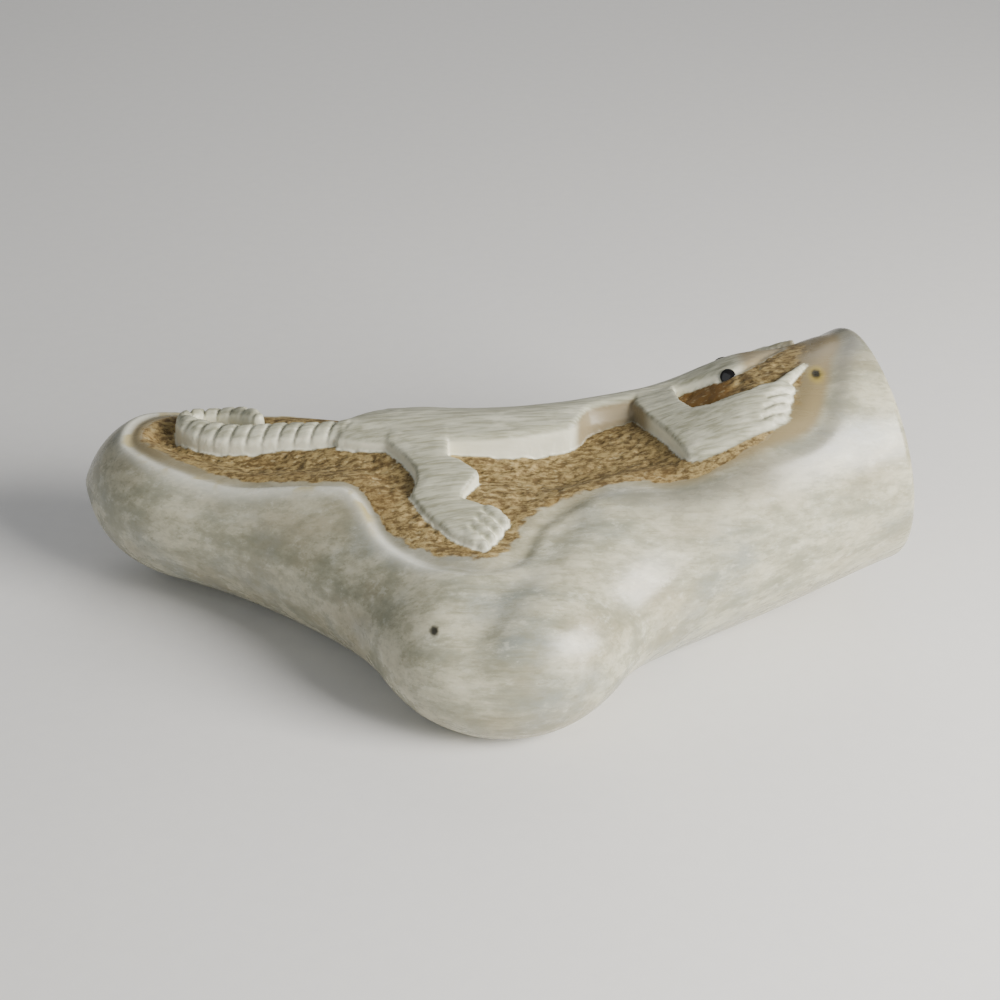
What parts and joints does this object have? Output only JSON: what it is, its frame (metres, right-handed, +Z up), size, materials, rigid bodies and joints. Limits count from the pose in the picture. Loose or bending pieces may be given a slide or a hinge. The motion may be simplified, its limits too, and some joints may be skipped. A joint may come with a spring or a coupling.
{
  "type": "zuni fetish carving",
  "caption": "Polished fork of antler with a lizard carved in relief in a pocket on top and inlaid black eyes.",
  "frame": {"origin": "middle of the underside of the box around the carving, on the surface it stands on", "axes": "+X along the antler from the tail to the head of the lizard, -Y towards the short tine, +Z up"},
  "size_m": [0.1398, 0.0736, 0.0473],
  "materials": {
    "antler": "polished ivory and grey-green antler with a matt brown spongy pocket floor",
    "jet": "polished black stone"
  },
  "bodies": {
    "root": {"antler_lizard_carving": "antler", "near_eye_inlay": "jet", "far_eye_inlay": "jet"}
  },
  "joints": []
}
